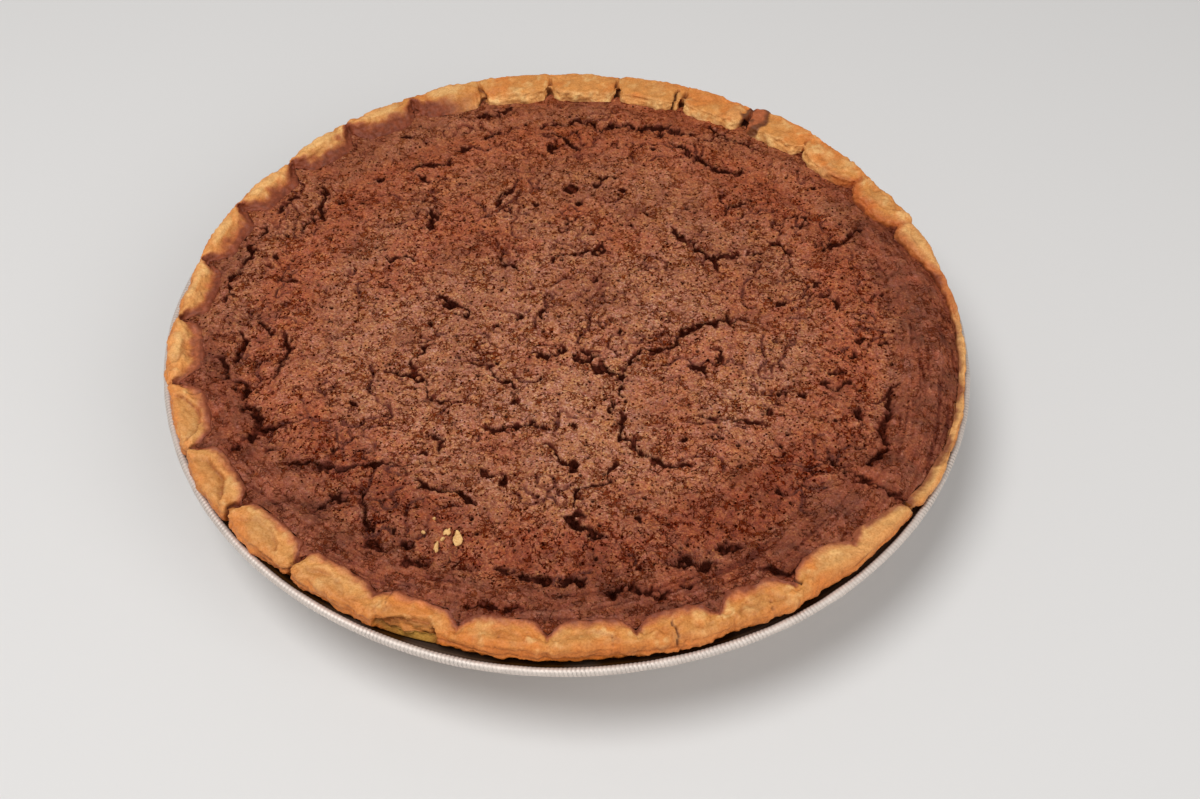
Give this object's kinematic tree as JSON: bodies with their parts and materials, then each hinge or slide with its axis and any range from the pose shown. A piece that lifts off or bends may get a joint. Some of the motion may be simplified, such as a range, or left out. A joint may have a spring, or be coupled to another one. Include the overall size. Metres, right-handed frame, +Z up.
{
  "type": "bean pie",
  "caption": "Round one-crust bean pie with a thumb-crimped pastry rim and a cracked brown custard filling, baked in a shallow sloping foil tin.",
  "frame": {"origin": "middle of the tin's flat base, on the surface it stands on", "axes": "+Z up; +X to the right and +Y away from the viewer in the reference view"},
  "size_m": [0.2202, 0.2204, 0.0375],
  "materials": {
    "foil": "thin pressed foil, rolled ribbed edge",
    "pastry": "matt baked shortcrust, golden with browned edges",
    "custard": "matt, porous and cracked baked bean custard"
  },
  "bodies": {
    "root": {"tin": "foil", "crust": "pastry", "filling": "custard"}
  },
  "joints": []
}
